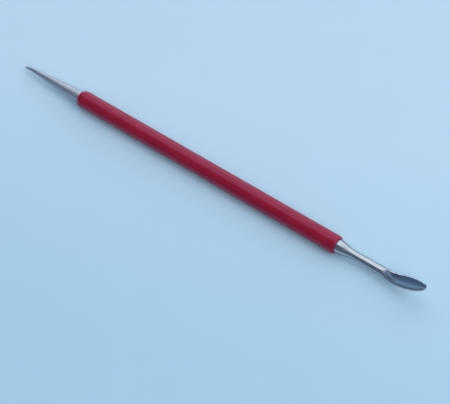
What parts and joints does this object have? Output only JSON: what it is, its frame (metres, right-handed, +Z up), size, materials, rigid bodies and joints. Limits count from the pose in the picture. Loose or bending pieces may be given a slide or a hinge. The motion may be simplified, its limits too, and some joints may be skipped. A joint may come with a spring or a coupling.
{
  "type": "double-ended stylus",
  "caption": "Slim double-ended craft stylus: round glossy handle with a tapered steel point at one end and a small steel scoop at the other.",
  "frame": {"origin": "under the middle of the tool's length, on the surface that the handle lies on", "axes": "+X along the tool towards the scoop, +Z up out of the hollow of the scoop"},
  "size_m": [0.1814, 0.0068, 0.0108],
  "materials": {
    "handle": "gloss",
    "steel_point": "satin",
    "steel_spoon": "polished"
  },
  "bodies": {
    "root": {"handle": "handle", "steel_point": "steel_point", "steel_spoon": "steel_spoon"}
  },
  "joints": []
}
